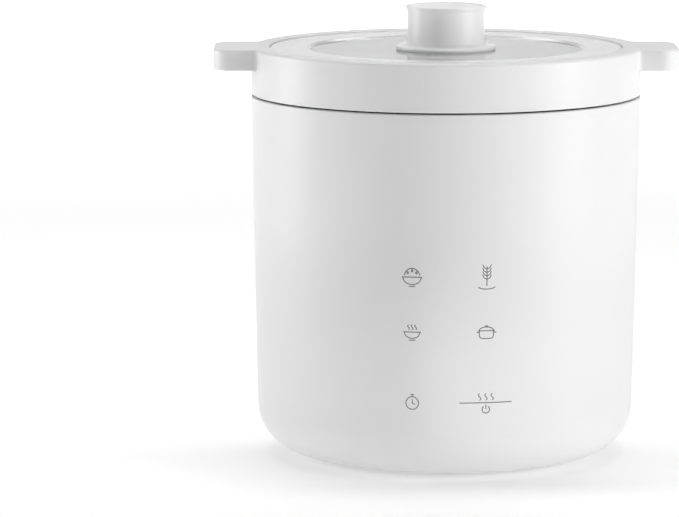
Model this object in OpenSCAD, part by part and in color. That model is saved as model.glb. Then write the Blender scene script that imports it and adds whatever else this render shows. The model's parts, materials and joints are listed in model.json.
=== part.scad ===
// Electric rice cooker with a lift-out inner pot, a flat glass lid and touch keys.
// Origin on the table under the middle of the body, +Z up, keys towards -Y, ears along X.
// All sizes are in millimetres.

/* [Body] */
// Outer radius of the collar and of the body's top edge
body_r = 100; // [99:0.5:102]
// Outer radius of the body just above its bottom corner
foot_r = 96.8; // [96.5:0.1:97.5]
// Radius of the rounded bottom corner
corner_r = 25; // [23:0.5:26]
// Height of the body's top edge above the table
rim_z = 185.6; // [184:0.2:190]
// Wall thickness of the body's outer shell
shell_t = 2.4; // [2:0.1:2.6]
// Height of the rubber feet below the base plate
foot_h = 1.2; // [1:0.1:1.6]

/* [Pot] */
// Dark gap between the body and the collar
collar_gap = 0.8; // [0.6:0.1:1.2]
// Height of the collar
collar_h = 24.2; // [24:0.2:26]
// Width over the two ears
ear_span = 238.2; // [236:0.2:242]
// Width of an ear, front to back
ear_w = 47; // [42:0.5:50]
// Thickness of an ear
ear_h = 11.2; // [10:0.2:12]
// Inner radius of the pot
pot_r = 81; // [80:0.25:81.5]
// Height of the heater's flat top, where the pot stands
seat_z = 76; // [75:0.5:78]

/* [Lid] */
// Radius of the glass that shows inside the lid ring
window_r = 69.6; // [66:0.2:71]
// Height of the knob above the glass
knob_h = 22.6; // [21:0.2:26]
// Radius of the knob's grip
grip_r = 19.8; // [18:0.2:21]
// Radius of the knob's base flange
flange_r = 25.6; // [24:0.2:27]

/* [Controls] */
// Height of the lowest row of keys
key_low_z = 41; // [39:0.5:43]
// Height of the middle row of keys
key_mid_z = 76.5; // [72:0.5:80]
// Height of the top row of keys
key_high_z = 105; // [102:0.5:108]
// Angle of each column of keys from the front
key_angle = 10.9; // [10:0.1:12]
// Travel of the pot sensor
sensor_travel = 2.5; // [1.5:0.1:3]

/* [Hidden] */
$fn = 96;
eps = 0.01;

// Levels of the body, from the table up
base_z = foot_h;
base_t = 2.4;
ledge_z = base_z + base_t;
ledge_t = 2.4;
ledge_in_r = 62;
plate_r = foot_r - corner_r - 1;
rim_round = 0.8;
deck_t = 2.2;
deck_z = rim_z - 4.6;
skirt_h = 8;
skirt_t = 2.2;
base_screw_r = 66.5;
base_screw_angles = [0:90:270];
screw_sink = 1.2;
foot_ring_r = 56;
foot_angles = [45:90:315];
slot_ring_r = 23;
slot_size = [18, 2.6];

// Liner and heater
pot_t = 1.5;
pot_floor_t = 2;
pot_corner = 14;
pot_out_r = pot_r + pot_t;
liner_t = 0.8;
liner_in_r = pot_out_r + 2;
liner_r = liner_in_r + liner_t;
floor_z = 44;
floor_top = floor_z + liner_t;
plate_heat_r = 69;
plate_under_z = seat_z - 10;
element_r = 52;
element_tube = 4;
element_z = plate_under_z - 5;
element_gap = 60;
element_tail = 5;
groove_half = 8;
terminal_angles = [90 - element_gap / 2, 90 + element_gap / 2];
tab_low_z = floor_z - 1.2;
bush_z = floor_top + 5.2;
support_r = 64;
support_angles = [30, 150, 270];
support_pin = 5;
fuse_x = 28;
fuse_screw_x = 36;
earth_spot = [30, 52, 0];

// Sensor in the middle of the heater
sensor_hole_r = 17.5;
cap_r = 16;
cap_top = seat_z - 0.3;
cap_t = 1.2;
stem_r = 5.9;
stem_bore = 3.2;
guide_in_r = 6.5;
guide_r = 8;
guide_flange_r = 24;
guide_flange_t = 1.5;
clip_z = floor_top - 1.2;
clip_in_r = stem_r - 0.8;
spring_r = 11;
spring_wire = 0.6;
housing_screw_x = 19;

// Collar and pot flange
collar_z = rim_z + collar_gap;
collar_top = collar_z + collar_h;
collar_t = 2.6;
land_t = 2.6;
mouth_r = body_r - 9.4;
mouth_t = 2.4;
lip_r = pot_r + 2.2;
seat_t = 2.2;
lid_seat = collar_top - 10.4;
flange_top = lid_seat - seat_t;
flange_low = flange_top - pot_t;
pot_flange_r = 90;
clamp_t = 4;
clamp_web = 1.8;
clamp_rib = 2;
clamp_in_r = pot_out_r + 0.3;
clamp_r = body_r - collar_t - 0.2;
boss_r = 2.4;
boss_ring_r = body_r - 4.8;
boss_angles = [30:60:330];
ear_end = ear_span / 2;
ear_round = 10;
ear_wall = 2.2;
ear_low = collar_top - ear_h;
ear_top_t = 2.4;
cover_t = 2;
ear_peg_r = 2.4;
ear_pegs = [[body_r + 9, -10, 0], [body_r + 9, 10, 0]];

// Lid
ring_r = mouth_r - 0.4;
ring_top = collar_top - 0.8;
ring_t = 1;
ring_wall = 2.4;
ring_inner_wall = 1.8;
glass_top = ring_top - ring_t;
glass_t = 4;
glass_low = glass_top - glass_t;
glass_r = window_r + 8;
glass_lap = 4;
gasket_t = 1.4;
gasket_low = glass_low - 1.2;
retainer_low = lid_seat + 0.6;
washer_t = 0.4;
knob_seal_r = flange_r - 0.6;
knob_low = glass_top + washer_t;
knob_top = glass_top + knob_h;
knob_wall = 2.4;
knob_fillet = 2.5;
knob_boss_h = 15;
flange_t = 1.6;
cap_lip_t = 2.2;
cap_lip_r = grip_r + 0.9;
cap_seat = knob_top - cap_lip_t;
cap_plug_h = 3;
dish_depth = 0.8;
vent_y = 45;
vent_hole_r = 5;
screw_hole_r = 3.5;

// Power board and its neighbours
board_z = 12;
board_t = 1.6;
board_top = board_z + board_t;
board_x = 84;
board_low_y = -34;
board_high_y = 24;
standoff_spots = [[-38, -30], [38, -30], [-38, 20], [38, 20]];
ribbon_t = 0.6;
ribbon_w = 16;

// Control board behind the keys, held to the shell's bosses by a frame
key_zs = [key_low_z, key_mid_z, key_high_z];
panel_front_y = -88.6;
panel_t = 1.6;
panel_back_y = panel_front_y + panel_t;
panel_half = 27.5;
panel_low_z = key_low_z - 12;
panel_high_z = key_high_z + 16;
bracket_t = 1;
bracket_rail = 5;
bracket_screw_x = 25;
bracket_screw_zs = [panel_low_z + 4, panel_high_z - 4];

// Mains inlet at the back
inlet_z = 33;
inlet_face_y = 90.6;
inlet_wall = 2.4;
inlet_flange = [50, 2.2, 23];
inlet_body = [27, 20, 20];
inlet_chop = 5;
inlet_mouth = [24, 16.6];
mouth_chop = 4;
inlet_depth = 16.5;
inlet_screw_x = 20;
inlet_back_y = inlet_face_y - inlet_body[1];
inlet_front_y = inlet_face_y + inlet_flange[1];
inlet_low = inlet_z - inlet_flange[2] / 2;
inlet_high = inlet_z + inlet_flange[2] / 2;
blade = [2, 15, 4];
tail_t = 0.8;
blade_spots = [[-7, inlet_z - 2], [0, inlet_z + 2], [7, inlet_z - 2]];
blade_root_y = inlet_front_y - inlet_depth;
tail_l = 8;
tail_y = inlet_back_y - tail_l;

// Radius of the shell's outside at a height
function wall_r(z) =
    let(knee = base_z + corner_r)
    z >= knee
        ? foot_r + (body_r - foot_r) * (z - knee) / (rim_z - knee)
        : foot_r - corner_r + sqrt(corner_r * corner_r - (knee - z) * (knee - z));

function arc(cx, cy, r, from, to, steps) = [
    for (i = [0:steps])
        let(a = from + (to - from) * i / steps)
        [cx + r * cos(a), cy + r * sin(a)]
];

function unit(v) = v / norm(v);

// Point at t from 0 to 1 on a curve with two ends and two handles
function bezier(p, t) =
    p[0] * pow(1 - t, 3) + p[1] * 3 * t * pow(1 - t, 2) + p[2] * 3 * t * t * (1 - t) + p[3] * pow(t, 3);

function bezier_path(p, steps) = [for (i = [0:steps]) bezier(p, i / steps)];

function tangent(path, i) = unit(path[min(i + 1, len(path) - 1)] - path[max(i - 1, 0)]);

// Points of a round section about one point of a path; side_hint is never along the path
function section(p, along, r, sides, side_hint) =
    let(u = unit(cross(along, side_hint)), v = cross(along, u))
    [for (k = [0:sides - 1]) p + r * (cos(360 * k / sides) * u + sin(360 * k / sides) * v)];

// Round wire along a path
module wire(path, r, side_hint, sides = 8) {
    n = len(path);
    points = [for (i = [0:n - 1]) each section(path[i], tangent(path, i), r, sides, side_hint)];
    walls = [
        for (i = [0:n - 2], k = [0:sides - 1])
            let(a = i * sides + k, b = i * sides + (k + 1) % sides)
            [a, a + sides, b + sides, b]
    ];
    first = [for (k = [0:sides - 1]) k];
    last = [for (k = [sides - 1:-1:0]) (n - 1) * sides + k];
    polyhedron(points, concat([first], walls, [last]));
}

// Coil spring standing on a height, with its ends inside the two heights
module coil(r, wire_r, low, high, turns, steps, sides) {
    z0 = low + wire_r + 0.05;
    rise = high - low - 2 * wire_r - 0.1;
    count = turns * steps;
    path = [
        for (i = [0:count])
            let(a = 360 * i / steps)
            [r * cos(a), r * sin(a), z0 + rise * i / count]
    ];
    wire(path, wire_r, [0, 0, 1], sides);
}

// Flat ring about Z
module ring(inner, outer, low, high) {
    rotate_extrude()
        translate([inner, low])
            square([outer - inner, high - low]);
}

// Cylinder between two heights
module post(r, low, high) {
    translate([0, 0, low])
        cylinder(r = r, h = high - low);
}

// Box centred on X and Y between two heights
module block(x, y, low, high) {
    translate([-x / 2, -y / 2, low])
        cube([x, y, high - low]);
}

// Puts its children at each angle on a circle about Z
module around(r, angles) {
    for (a = angles)
        rotate([0, 0, a])
            translate([r, 0, 0])
                children();
}

// Puts its children at each of some points
module at_each(spots) {
    for (p = spots)
        translate(p)
            children();
}

// Puts its children at the same distance to the left and to the right
module at_both(x) {
    for (side = [-1, 1])
        translate([side * x, 0, 0])
            children();
}

// What a rounded outer corner at a point takes away; sx and sy point out of the corner
module corner_cut(x, y, r, sx, sy) {
    difference() {
        translate([x - (sx > 0 ? r : eps), y - (sy > 0 ? r : eps)])
            square(r + eps);
        translate([x - sx * r, y - sy * r])
            circle(r = r, $fn = 48);
    }
}

// Pan-head screw with a cross recess; the head's underside is at z = 0 and the shank goes up
module screw(head_r, head_h, shank_r, length) {
    difference() {
        union() {
            post(head_r, -head_h, 0);
            post(shank_r, -eps, length);
        }
        block(head_r * 1.3, 0.5, -head_h - 1, -head_h * 0.45);
        block(0.5, head_r * 1.3, -head_h - 1, -head_h * 0.45);
    }
}

// Half outline of the body, drawn in by an inset; an inset outline is open at the top
module body_outline(inset) {
    top = rim_z + (inset > 0 ? 1 : 0);
    polygon(concat(
        [[0, base_z + inset]],
        arc(foot_r - corner_r, base_z + corner_r, corner_r - inset, -90, 0, 12),
        [[body_r - inset, rim_z], [body_r - inset, top], [0, top]]
    ));
}

module shell_section() {
    difference() {
        union() {
            difference() {
                body_outline(0);
                body_outline(shell_t);
            }
            translate([ledge_in_r, ledge_z])
                square([foot_r - corner_r - ledge_in_r + 6, ledge_t]);
        }
        square([plate_r + 0.4, ledge_z]);
        corner_cut(body_r, rim_z, rim_round, 1, 1);
    }
}

module outer_shell() {
    color("white")
    difference() {
        union() {
            rotate_extrude()
                shell_section();
            // Inside of the shell carries the inlet's flat wall and the bracket's bosses
            intersection() {
                rotate_extrude()
                    body_outline(shell_t / 2);
                union() {
                    translate([0, inlet_face_y - inlet_wall / 2, 0])
                        block(inlet_flange[0] + 6, inlet_wall, inlet_low - 3, inlet_high + 3);
                    at_bracket_screws(panel_front_y)
                        cylinder(r = 2.4, h = 20);
                }
            }
            around(base_screw_r, base_screw_angles)
                post(3.6, ledge_z + eps, 17);
        }
        // Flat recess and cut-out for the inlet
        translate([0, inlet_face_y + 10, 0])
            block(inlet_flange[0] + 0.8, 20, inlet_low - 0.4, inlet_high + 0.4);
        translate([0, inlet_face_y + 1, inlet_z])
            chopped_block(inlet_body[0] + 0.4, inlet_body[2] + 0.4, inlet_chop, inlet_wall + 2);
        at_both(inlet_screw_x)
            translate([0, inlet_face_y + 1, inlet_z])
                rotate([90, 0, 0])
                    cylinder(r = 1.6, h = inlet_wall + 2);
        around(base_screw_r, base_screw_angles)
            post(1.3, 0, 15);
        at_bracket_screws(panel_front_y + 1)
            cylinder(r = 0.95, h = 4);
    }
}

// Ring that closes the space between the shell and the liner
module top_trim_ring() {
    skirt_r = wall_r(deck_z - skirt_h) - shell_t - 0.2;
    in_r = liner_in_r + 0.2;
    color("whitesmoke")
    rotate_extrude()
        difference() {
            union() {
                translate([in_r, deck_z])
                    square([skirt_r - in_r, deck_t]);
                translate([skirt_r - skirt_t, deck_z - skirt_h])
                    square([skirt_t, skirt_h + eps]);
            }
            corner_cut(in_r, deck_z + deck_t, rim_round, -1, 1);
        }
}

module inner_liner() {
    color("silver")
    difference() {
        rotate_extrude() {
            translate([liner_in_r, floor_z])
                square([liner_t, deck_z - floor_z]);
            translate([14, floor_z])
                square([liner_r - 14, liner_t]);
            translate([liner_in_r, deck_z - liner_t])
                square([6, liner_t]);
        }
        around(element_r, terminal_angles)
            post(7, floor_z - 1, floor_top + 1);
        around(support_r, support_angles)
            post(1.7, floor_z - 1, floor_top + 1);
        at_both(housing_screw_x)
            post(1.3, floor_z - 1, floor_top + 1);
        translate(earth_spot)
            post(1.7, floor_z - 1, floor_top + 1);
    }
}

module base_plate() {
    color("whitesmoke")
    difference() {
        union() {
            post(plate_r, base_z, ledge_z);
            at_each(standoff_spots)
                post(3.5, ledge_z - eps, board_z);
        }
        at_each(standoff_spots)
            post(1.2, ledge_z + 1.4, board_z + 1);
        around(base_screw_r, base_screw_angles) {
            post(1.7, 0, ledge_z + 1);
            post(3, 0, base_z + screw_sink);
        }
        around(foot_ring_r, foot_angles)
            post(2.05, 0, ledge_z + 1);
        // Air slots
        around(slot_ring_r, [0:30:330])
            block(slot_size[0], slot_size[1], 0, ledge_z + 1);
    }
}

module base_screws() {
    color("dimgray")
    around(base_screw_r, base_screw_angles)
        translate([0, 0, base_z + screw_sink])
            screw(2.8, 1.1, 1.2, 11);
}

module rubber_feet() {
    color("gray")
    around(foot_ring_r, foot_angles) {
        post(7, 0, base_z);
        post(2, base_z - eps, ledge_z + eps);
        post(2.8, ledge_z, ledge_z + 1.2);
    }
}

module heater_plate() {
    color("silver")
    difference() {
        rotate_extrude()
            difference() {
                union() {
                    translate([sensor_hole_r, plate_under_z])
                        square([plate_heat_r - sensor_hole_r, seat_z - plate_under_z]);
                    translate([element_r - groove_half, element_z])
                        square([2 * groove_half, plate_under_z - element_z + eps]);
                }
                corner_cut(plate_heat_r, seat_z, 3, 1, 1);
                translate([element_r, element_z])
                    circle(r = element_tube + 0.05, $fn = 48);
            }
        around(support_r, support_angles)
            post(2.05, plate_under_z - 1, plate_under_z + support_pin + 0.2);
        translate([fuse_screw_x, 0, 0])
            post(1.3, plate_under_z - 1, plate_under_z + 6);
    }
}

// Sheathed tube in the plate's groove, turned down at both ends
module heater_element() {
    color("slategray") {
        rotate([0, 0, 90 + element_gap / 2 - element_tail])
            rotate_extrude(angle = 360 - element_gap + 2 * element_tail)
                translate([element_r, element_z])
                    circle(r = element_tube, $fn = 48);
        around(element_r, terminal_angles)
            post(element_tube - 0.5, bush_z + 3, element_z + 1);
    }
}

// Ceramic bush and spade tab at each end of the element
module heater_terminals() {
    color("ivory")
    around(element_r, terminal_angles) {
        post(3, bush_z - 2, bush_z + 3);
        block(0.8, 6.3, tab_low_z, bush_z - 2 + eps);
    }
}

module plate_supports() {
    color("lightsteelblue")
    around(support_r, support_angles)
        difference() {
            union() {
                post(3, floor_top, plate_under_z);
                post(2, plate_under_z - eps, plate_under_z + support_pin);
            }
            post(1.55, floor_top - 1, floor_top + 13);
        }
}

module support_screws() {
    color("dimgray")
    around(support_r, support_angles)
        translate([0, 0, floor_z])
            screw(2.8, 1.8, 1.5, 12);
}

module thermal_fuse() {
    color("goldenrod")
    translate([fuse_x, 0, plate_under_z - 2])
        rotate([90, 0, 0]) {
            cylinder(r = 2, h = 11, center = true);
            cylinder(r = 0.5, h = 24, center = true);
        }
}

// Strap that holds the thermal fuse against the plate, with its screw
module fuse_clip() {
    low = plate_under_z - 5;
    near_x = fuse_x - 3.1;
    far_x = fuse_x + 2.1;
    width = 8;
    sheet = 1;
    color("silver")
    difference() {
        union() {
            translate([near_x, -width / 2, low])
                cube([far_x - near_x + sheet, width, 0.9]);
            translate([near_x, -width / 2, low])
                cube([sheet, width, 5]);
            translate([far_x, -width / 2, low])
                cube([sheet, width, 4.9]);
            translate([far_x, -width / 2, plate_under_z - sheet])
                cube([9, width, sheet]);
            translate([fuse_screw_x, 0, 0]) {
                post(1.2, plate_under_z - sheet, plate_under_z + 5);
                post(2.6, plate_under_z - 2.6, plate_under_z - sheet + eps);
            }
        }
        translate([fuse_screw_x, 0, 0])
            block(3.4, 0.5, plate_under_z - 3, plate_under_z - 1.9);
    }
}

module sensor_housing() {
    color("whitesmoke")
    difference() {
        rotate_extrude() {
            translate([guide_in_r, floor_top])
                square([guide_flange_r - guide_in_r, guide_flange_t]);
            translate([guide_in_r, floor_top])
                square([guide_r - guide_in_r, 19]);
        }
        at_both(housing_screw_x)
            post(1.3, floor_top - 1, floor_top + 3);
    }
}

module housing_screws() {
    color("dimgray")
    at_both(housing_screw_x)
        translate([0, 0, floor_z])
            screw(2.4, 1.4, 1.2, 4);
}

module sensor_spring() {
    color("silver")
    coil(spring_r, spring_wire, floor_top + guide_flange_t, cap_top - cap_t, 5, 14, 6);
}

// Cap that the spring presses against the pot, with the stem that guides it
module sensor_cap() {
    color("gainsboro")
    difference() {
        rotate_extrude()
            difference() {
                union() {
                    translate([0, cap_top - cap_t])
                        square([cap_r, cap_t]);
                    translate([cap_r - 1, cap_top - 12])
                        square([1, 12]);
                    translate([stem_bore, floor_z - 3])
                        square([stem_r - stem_bore, cap_top - floor_z + 2]);
                }
                corner_cut(cap_r, cap_top, 0.8, 1, 1);
            }
        // Groove for the retaining clip
        ring(clip_in_r, stem_r + 1, clip_z, clip_z + 1);
    }
}

module thermistor() {
    color("black")
    post(3, cap_top - 12, cap_top - cap_t);
}

module sensor_clip() {
    color("silver")
    ring(clip_in_r, stem_r + 2.4, clip_z, clip_z + 1);
}

module sensor_lead() {
    color("black") {
        post(1.3, 24, cap_top - 12 - sensor_travel - 0.5);
        block(6, 5, board_top, 24 + eps);
    }
}

module power_board() {
    color("darkgreen")
    difference() {
        translate([-board_x / 2, board_low_y, board_z])
            cube([board_x, board_high_y - board_low_y, board_t]);
        at_each(standoff_spots)
            post(1.5, board_z - 1, board_top + 1);
    }
}

module board_screws() {
    color("dimgray")
    at_each(standoff_spots)
        translate([0, 0, board_top])
            mirror([0, 0, 1])
                screw(2.7, 1.6, 1.15, 8);
}

// A part standing on the power board
module on_board(x, y) {
    translate([x, y, board_top])
        children();
}

module relay() {
    color("royalblue")
    on_board(-27, -18)
        block(15.5, 19, 0, 15.5);
}

module transformer() {
    color("khaki")
    on_board(0, -18) {
        block(17, 16, 0, 15);
        block(21, 7, 2, 13);
    }
}

module film_capacitor() {
    color("gold")
    on_board(26, -24)
        block(18, 8.5, 0, 14);
}

module bulk_capacitor() {
    color("midnightblue")
    on_board(15, 12)
        difference() {
            post(5, 0, 18);
            ring(4.6, 6, 15.5, 16.3);
        }
}

module varistor() {
    color("steelblue")
    on_board(30, -8)
        translate([0, 0, 6])
            rotate([90, 0, 0])
                cylinder(r = 5.5, h = 4, center = true);
}

module line_fuse() {
    color("lightgray")
    on_board(31.5, 9)
        translate([0, 0, 3]) {
            rotate([0, 90, 0])
                cylinder(r = 2.2, h = 20, center = true);
            at_both(7.8)
                rotate([0, 90, 0])
                    cylinder(r = 2.9, h = 5, center = true);
        }
}

module terminal_block() {
    color("whitesmoke")
    on_board(-20, 14)
        difference() {
            block(30, 8, 0, 10);
            for (i = [0:3])
                translate([-11 + 7.4 * i, 0, 0])
                    block(5, 5, 6.5, 11);
        }
}

module buzzer() {
    color("black")
    on_board(-14, 1)
        difference() {
            post(6, 0, 6.5);
            post(1, 5.5, 7);
        }
}

module ribbon_header() {
    color("whitesmoke")
    on_board(0, -30.5)
        block(20, 5, 0, 7);
}

// Puts its children at each bracket screw, at a depth and facing the shell
module at_bracket_screws(y) {
    for (side = [-1, 1], z = bracket_screw_zs)
        translate([side * bracket_screw_x, y, z])
            rotate([90, 0, 0])
                children();
}

// Holes for the screws that go through the bracket and the control board
module bracket_holes() {
    at_bracket_screws(panel_back_y + 4)
        cylinder(r = 1.1, h = 10);
}

// Box in front of the liner: half width, back and front depth, and heights
module panel_box(half, back, front, low, high) {
    translate([-half, front, low])
        cube([2 * half, back - front, high - low]);
}

module control_board() {
    color("darkgreen")
    difference() {
        panel_box(panel_half, panel_back_y, panel_front_y, panel_low_z, panel_high_z);
        bracket_holes();
    }
}

module control_bracket() {
    back = panel_back_y + bracket_t;
    color("gainsboro")
    difference() {
        panel_box(panel_half, back, panel_back_y, panel_low_z, panel_high_z);
        panel_box(
            panel_half - bracket_rail, back + 1, panel_back_y - 1,
            panel_low_z + bracket_rail, panel_high_z - bracket_rail
        );
        // Way in for the ribbon
        panel_box(10, back + 1, panel_back_y - 1, panel_low_z - 1, panel_low_z + bracket_rail + 1);
        bracket_holes();
    }
}

module bracket_screws() {
    color("dimgray")
    at_bracket_screws(panel_back_y + bracket_t)
        screw(1.9, 1.2, 0.9, 5.6);
}

// Puts its children at the two keys of a row, on the board's front and facing the shell
module at_row(z) {
    at_both((wall_r(z) - shell_t) * sin(key_angle))
        translate([0, panel_front_y, z])
            rotate([90, 0, 0])
                children();
}

// Room between the control board and the shell at a key, from one side of the spring to the other
function key_room(z) =
    let(inner = wall_r(z) - shell_t, reach = inner * sin(key_angle) + 5)
    sqrt(inner * inner - reach * reach) + panel_front_y - 0.3;

// Coil springs that carry the touch field from the board to the shell
module touch_springs() {
    color("gold")
    for (z = key_zs)
        at_row(z)
            coil(4, 0.35, 0, key_room(z), 3, 10, 5);
}

module key_leds() {
    color("white")
    for (z = key_zs)
        at_row(z)
            block(2, 3, 0, 0.9);
}

module control_chip() {
    color("black")
    panel_box(5, panel_front_y, panel_front_y - 1.2, key_mid_z + 9, key_mid_z + 19);
}

// Flat stretch of ribbon in the YZ plane between two points, a little longer at each end
module ribbon_run(from, to) {
    v = to - from;
    spare = ribbon_t * 0.4;
    translate(from)
        rotate(atan2(v[1], v[0]))
            translate([-spare, -ribbon_t / 2])
                square([norm(v) + 2 * spare, ribbon_t]);
}

module ribbon_cable() {
    route = [
        [-30.5, board_top + 7 + ribbon_t * 0.7],
        [-34, 26],
        [-80, 29],
        [panel_back_y + ribbon_t / 2 + 0.02, 34],
        [panel_back_y + ribbon_t / 2 + 0.02, 43]
    ];
    color("lightgray")
    translate([-ribbon_w / 2, 0, 0])
        rotate([90, 0, 90])
            linear_extrude(ribbon_w)
                for (i = [0:len(route) - 2])
                    ribbon_run(route[i], route[i + 1]);
}

// Upright block with its two lower corners cut off, run towards -Y from y = 0
module chopped_block(width, height, chop, depth) {
    x = width / 2;
    z = height / 2;
    rotate([90, 0, 0])
        linear_extrude(depth)
            polygon([[-x, z], [x, z], [x, chop - z], [x - chop, -z], [chop - x, -z], [-x, chop - z]]);
}

module power_inlet() {
    color("black")
    difference() {
        union() {
            translate([-inlet_flange[0] / 2, inlet_face_y, inlet_low])
                cube(inlet_flange);
            translate([0, inlet_face_y + eps, inlet_z])
                chopped_block(inlet_body[0], inlet_body[2], inlet_chop, inlet_body[1] + eps);
        }
        translate([0, inlet_front_y + 1, inlet_z])
            chopped_block(inlet_mouth[0], inlet_mouth[1], mouth_chop, inlet_depth + 1);
        for (p = blade_spots)
            translate([p[0] - blade[0] / 2, inlet_back_y - 1, p[1] - blade[2] / 2])
                cube([blade[0], blade_root_y - inlet_back_y + 2, blade[2]]);
        at_both(inlet_screw_x)
            translate([0, inlet_front_y + 1, inlet_z])
                rotate([90, 0, 0])
                    cylinder(r = 1.6, h = inlet_flange[1] + 2);
    }
}

// Three flat blades with solder tails behind the inlet
module inlet_pins() {
    color("silver")
    for (p = blade_spots) {
        translate([p[0] - blade[0] / 2, inlet_back_y, p[1] - blade[2] / 2])
            cube([blade[0], blade_root_y - inlet_back_y + blade[1] - 1, blade[2]]);
        translate([p[0] - tail_t / 2, tail_y, p[1] - blade[2] / 2])
            cube([tail_t, tail_l + eps, blade[2]]);
    }
}

// Screws through the inlet's flange and the shell, each with its nut
module inlet_screws() {
    color("dimgray")
    at_both(inlet_screw_x) {
        translate([0, inlet_front_y, inlet_z])
            rotate([90, 0, 0])
                screw(2.8, 1.4, 1.5, 8);
        translate([0, inlet_face_y - inlet_wall, inlet_z])
            rotate([90, 0, 0])
                difference() {
                    cylinder(r = 3.1, h = 2.2, $fn = 6);
                    translate([0, 0, -1])
                        cylinder(r = 1.52, h = 5);
                }
    }
}

// Live and neutral, from the inlet's tails to the terminal block
module mains_leads() {
    color("saddlebrown")
    for (k = [0, 1]) {
        x = blade_spots[2 * k][0];
        wire(
            bezier_path([
                [x, tail_y, inlet_z - 2],
                [x, 48, inlet_z - 2],
                [-16.2 + 7.4 * k, 14, 34],
                [-16.2 + 7.4 * k, 14, board_top + 7]
            ], 14),
            1.2, [1, 0.2, 0]
        );
    }
}

// Earth, from the inlet's middle tail to a lug screwed to the liner
module earth_lead() {
    color("yellowgreen") {
        wire(
            bezier_path([
                [0, tail_y, inlet_z + 2],
                [2, 56, inlet_z + 3],
                [20, 62, 36],
                [earth_spot[0] - 1, earth_spot[1] + 2.5, floor_z - 1.5]
            ], 12),
            1.1, [0, 0.1, 1]
        );
        translate(earth_spot)
            difference() {
                post(3.4, floor_z - 3, floor_z);
                post(1.7, floor_z - 4, floor_z + 1);
            }
    }
}

// From the terminal block up to the element's two tabs
module heater_leads() {
    color("firebrick")
    for (k = [0, 1]) {
        a = terminal_angles[1 - k];
        tab = [element_r * cos(a), element_r * sin(a)];
        wire(
            bezier_path([
                [-31 + 7.4 * k, 14, board_top + 7],
                [-31 + 7.4 * k, 14, 50],
                [tab[0], tab[1], 30],
                [tab[0], tab[1], tab_low_z]
            ], 14),
            1.1, [1, 0.3, 0]
        );
    }
}

module inner_pot() {
    floor_up = seat_z + pot_floor_t;
    color("dimgray")
    rotate_extrude()
        difference() {
            union() {
                translate([0, seat_z])
                    square([pot_out_r, flange_top - seat_z]);
                translate([0, flange_low])
                    square([pot_flange_r, pot_t]);
            }
            corner_cut(pot_out_r, seat_z, pot_corner, 1, -1);
            difference() {
                translate([-1, floor_up])
                    square([pot_r + 1, flange_top]);
                corner_cut(pot_r, floor_up, pot_corner - pot_t, 1, -1);
            }
        }
}

// Outline of one ear, reaching in to the collar, seen from above
module ear_plan(inset) {
    end = ear_end - inset;
    half = ear_w / 2 - inset;
    r = ear_round - inset;
    start = body_r - 6;
    translate([start, -half])
        square([end - r - start, 2 * half]);
    translate([start, r - half])
        square([end - start, 2 * (half - r)]);
    for (sy = [-1, 1])
        translate([end - r, sy * (half - r)])
            circle(r = r);
}

module both_ears() {
    for (a = [0, 180])
        rotate([0, 0, a])
            children();
}

module pot_collar() {
    color("white")
    difference() {
        union() {
            rotate_extrude()
                difference() {
                    union() {
                        translate([body_r - collar_t, collar_z])
                            square([collar_t, collar_h]);
                        translate([mouth_r, collar_top - land_t])
                            square([body_r - mouth_r, land_t]);
                        translate([mouth_r, flange_top])
                            square([mouth_t, collar_top - flange_top]);
                        translate([lip_r, flange_top])
                            square([mouth_r + mouth_t - lip_r, seat_t]);
                    }
                    corner_cut(body_r, collar_top, 1.4, 1, 1);
                    corner_cut(body_r, collar_z, 0.6, 1, -1);
                    corner_cut(mouth_r, collar_top, 0.6, -1, 1);
                }
            around(boss_ring_r, boss_angles)
                post(boss_r, flange_low, collar_top - 2);
            both_ears()
                difference() {
                    translate([0, 0, ear_low])
                        linear_extrude(ear_h)
                            ear_plan(0);
                    post(body_r - collar_t / 2, ear_low - 1, collar_top + 1);
                }
        }
        around(boss_ring_r, boss_angles)
            post(1.2, flange_low - 1, collar_top - 5);
        // Hollow of each ear, open below, with two pegs left standing
        both_ears()
            difference() {
                translate([0, 0, ear_low - 1])
                    linear_extrude(ear_h + 1 - ear_top_t)
                        ear_plan(ear_wall);
                post(body_r, ear_low - 2, collar_top);
                at_each(ear_pegs)
                    post(ear_peg_r, ear_low + cover_t, collar_top);
            }
        both_ears()
            at_each(ear_pegs)
                post(1.25, ear_low, collar_top - ear_top_t - 1);
    }
}

// Plate that closes each ear from below, with two pins in the ear's pegs
module ear_covers() {
    color("white")
    both_ears() {
        difference() {
            translate([0, 0, ear_low])
                linear_extrude(cover_t)
                    ear_plan(ear_wall + 0.15);
            post(body_r + 0.15, ear_low - 1, ear_low + cover_t + 1);
        }
        at_each(ear_pegs)
            post(1.2, ear_low + cover_t - eps, ear_low + cover_t + 4);
    }
}

// Ring that clamps the pot's flange up against the collar
module clamp_ring() {
    low = flange_low - clamp_t;
    color("gainsboro")
    difference() {
        rotate_extrude() {
            translate([clamp_in_r, flange_low - clamp_web])
                square([clamp_r - clamp_in_r, clamp_web]);
            translate([clamp_in_r, low])
                square([clamp_rib, clamp_t]);
            translate([clamp_r - clamp_rib, low])
                square([clamp_rib, clamp_t]);
        }
        around(boss_ring_r, boss_angles) {
            post(boss_r, low - 1, flange_low - clamp_web);
            post(1.4, low - 1, flange_low + 1);
        }
    }
}

module clamp_screws() {
    color("dimgray")
    around(boss_ring_r, boss_angles)
        translate([0, 0, flange_low - clamp_web])
            screw(2.1, 1.5, 1.15, 9);
}

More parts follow.
